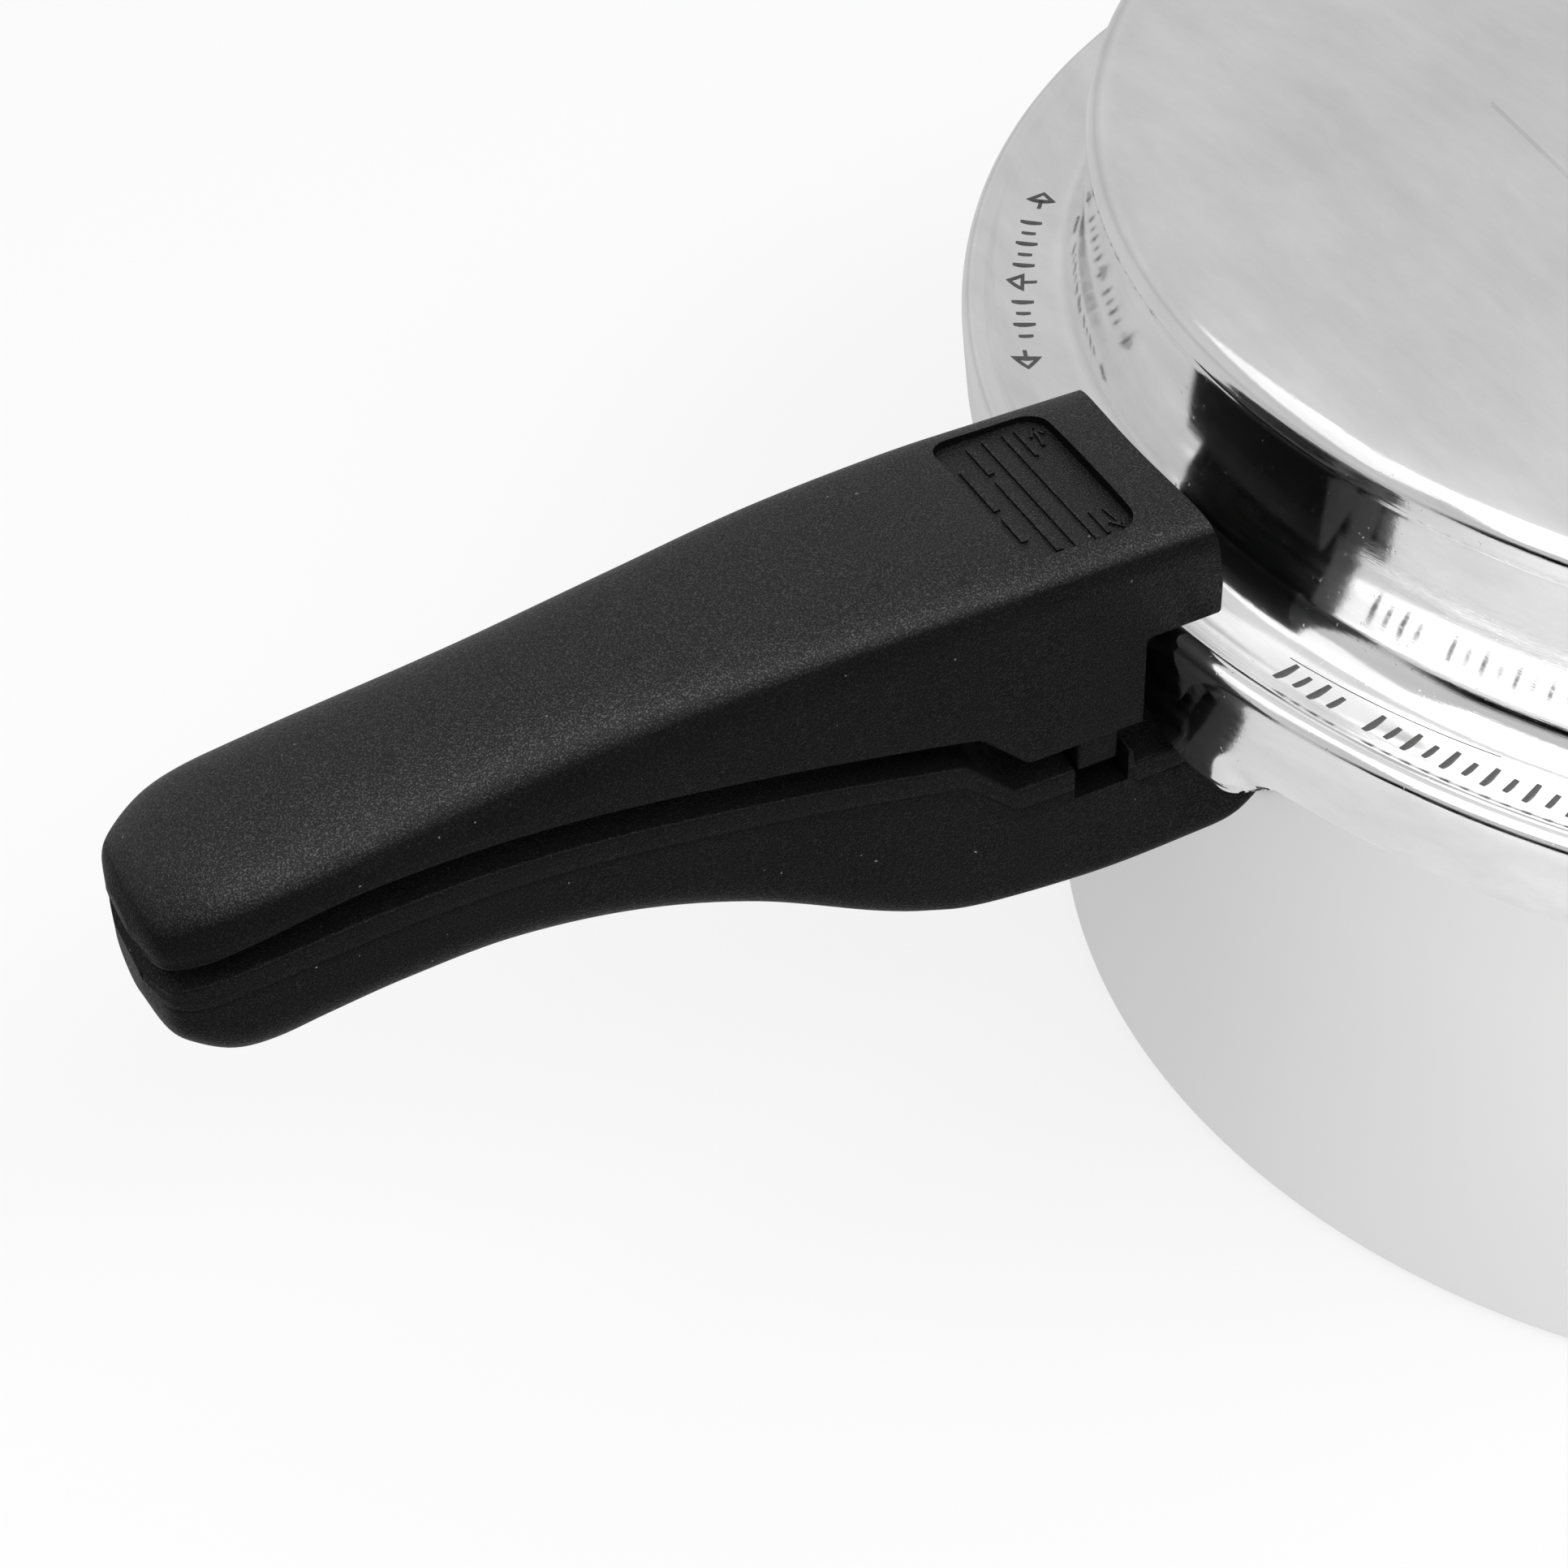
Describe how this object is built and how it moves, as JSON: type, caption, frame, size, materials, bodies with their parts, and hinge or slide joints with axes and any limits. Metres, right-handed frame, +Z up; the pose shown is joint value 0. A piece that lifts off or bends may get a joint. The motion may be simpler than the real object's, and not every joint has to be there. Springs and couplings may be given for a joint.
{
  "type": "stovetop pressure cooker",
  "caption": "Aluminium stovetop pressure cooker with an outer-locking domed lid, paired black long handles, a vent weight and a safety plug.",
  "frame": {"origin": "centre of the pan's flat underside, on the axis of the pan and lid", "axes": "+Z up along the axis of the pan and lid; the long handles point along -X; the lid opens by turning its handle towards -Y"},
  "size_m": [0.3883, 0.2566, 0.199],
  "materials": {
    "polished_aluminium": "polished casting with fine polishing lines",
    "satin_aluminium": "satin spun sheet",
    "rivet_aluminium": "satin",
    "black_moulding": "fine-grained heat-resistant moulding",
    "gasket_rubber": "matt moulded rubber",
    "steel": "zinc plated",
    "chrome": "bright plated",
    "brass": "turned",
    "fusible_alloy": "dull cast metal"
  },
  "bodies": {
    "pan": {"pan_body": "satin_aluminium", "pan_bracket": "steel", "bracket_rivets": "rivet_aluminium", "lower_handle": "black_moulding", "lower_handle_screw": "steel", "lower_handle_washer": "steel", "lower_handle_nut": "steel"},
    "lid": {"lid_cover": "polished_aluminium", "sealing_gasket": "gasket_rubber", "upper_handle": "black_moulding", "upper_handle_insert": "brass", "upper_handle_screw": "steel", "upper_handle_washer": "steel", "vent_pipe": "chrome", "vent_pipe_gasket": "gasket_rubber", "vent_pipe_nut": "steel", "safety_plug_body": "brass", "safety_plug_core": "fusible_alloy", "safety_plug_seal": "gasket_rubber", "safety_plug_nut": "brass"},
    "regulator_seat": {"regulator_bush": "steel", "regulator_needle": "steel"},
    "regulator": {"regulator_weight": "chrome", "regulator_knob": "black_moulding", "regulator_screw": "steel"}
  },
  "joints": [
    {"name": "lid_turn", "type": "hinge", "parent": "pan", "child": "lid", "pos_m": [0, 0, 0.1], "axis": [0, 0, 1], "range_deg": [0, 30]},
    {"name": "regulator_lift", "type": "slide", "parent": "lid", "child": "regulator_seat", "axis": [0, 0, 1], "range_m": [0, 0.02]},
    {"name": "regulator_spin", "type": "hinge", "parent": "regulator_seat", "child": "regulator", "pos_m": [0, 0, 0.165], "axis": [0, 0, 1], "continuous": true}
  ]
}
